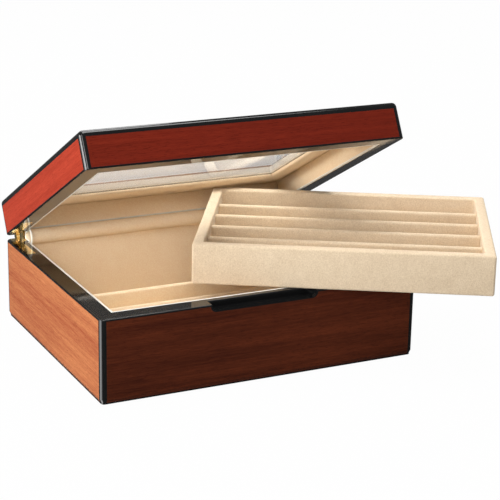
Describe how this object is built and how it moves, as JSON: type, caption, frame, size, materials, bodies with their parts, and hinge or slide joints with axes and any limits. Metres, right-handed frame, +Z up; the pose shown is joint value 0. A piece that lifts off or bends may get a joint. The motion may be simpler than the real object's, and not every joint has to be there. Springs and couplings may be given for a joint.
{
  "type": "collector chest with lift-out tray",
  "caption": "Lacquered wooden chest for writing instruments, with a glazed lid on quadrant stay hinges, a channelled base and a lift-out channelled tray.",
  "frame": {"origin": "middle of the felt underside, on the table", "axes": "+Z up, +X to the right and +Y to the back as one faces the opening front"},
  "size_m": [0.3353, 0.2633, 0.1751],
  "materials": {
    "veneer": "high gloss lacquer over red-brown ribbon-striped veneer",
    "black_lacquer": "high gloss black lacquer",
    "carcase": "raw board",
    "suede": "short-nap beige suede over board",
    "piping": "smooth pale piping",
    "felt": "pressed black felt",
    "brass": "polished",
    "glass": "clear, bevelled"
  },
  "bodies": {
    "base": {"base_back_board": "veneer", "base_bottom_board": "carcase", "base_deck_pad": "suede", "base_divider_1": "suede", "base_divider_2": "suede", "base_divider_3": "suede", "base_divider_4": "suede", "base_felt": "felt", "base_foot_band": "black_lacquer", "base_front_board": "veneer", "base_leaf_left": "brass", "base_leaf_right": "brass", "base_leaf_screws": "brass", "base_ledge_left": "suede", "base_ledge_right": "suede", "base_left_board": "veneer", "base_lining_back": "suede", "base_lining_front": "suede", "base_lining_left": "suede", "base_lining_right": "suede", "base_piping": "piping", "base_post_back_left": "black_lacquer", "base_post_back_right": "black_lacquer", "base_post_front_left": "black_lacquer", "base_post_front_right": "black_lacquer", "base_right_board": "veneer", "base_rim_frame": "black_lacquer", "hinge_pin_left": "brass", "hinge_pin_right": "brass", "rear_roll": "suede"},
    "lid": {"lid_back_board": "veneer", "lid_corner_posts": "black_lacquer", "lid_edge_band": "black_lacquer", "lid_front_board": "veneer", "lid_leaf_left": "brass", "lid_leaf_right": "brass", "lid_leaf_screws": "brass", "lid_left_board": "veneer", "lid_lining_back": "suede", "lid_lining_front": "suede", "lid_lining_left": "suede", "lid_lining_right": "suede", "lid_piping": "piping", "lid_right_board": "veneer", "lid_rim_frame": "black_lacquer", "lid_top_board": "veneer", "window_glass": "glass", "window_lining": "suede", "window_surround": "suede"},
    "stays": {"stay_left": "brass", "stay_right": "brass"},
    "tray": {"tray_back_wall": "suede", "tray_divider_1": "suede", "tray_divider_2": "suede", "tray_divider_3": "suede", "tray_divider_4": "suede", "tray_floor": "suede", "tray_front_wall": "suede", "tray_left_wall": "suede", "tray_right_wall": "suede"}
  },
  "joints": [
    {"name": "tray_draw", "type": "slide", "parent": "base", "child": "tray", "axis": [0, -1, 0], "range_m": [0, 0.3]},
    {"name": "lid_close", "type": "hinge", "parent": "base", "child": "stays", "pos_m": [0, 0.0992, 0.06], "axis": [-1, 0, 0], "range_deg": [-28.3, 0], "deforming": ["rear_roll"]},
    {"name": "lid_open", "type": "hinge", "parent": "stays", "child": "lid", "pos_m": [0, 0.0992, 0.06], "axis": [-1, 0, 0], "range_deg": [0, 66.7]}
  ],
  "couplings": [
    {"joint": "lid_close", "follows": "tray_draw", "rad_per_m": -1.6463}
  ]
}
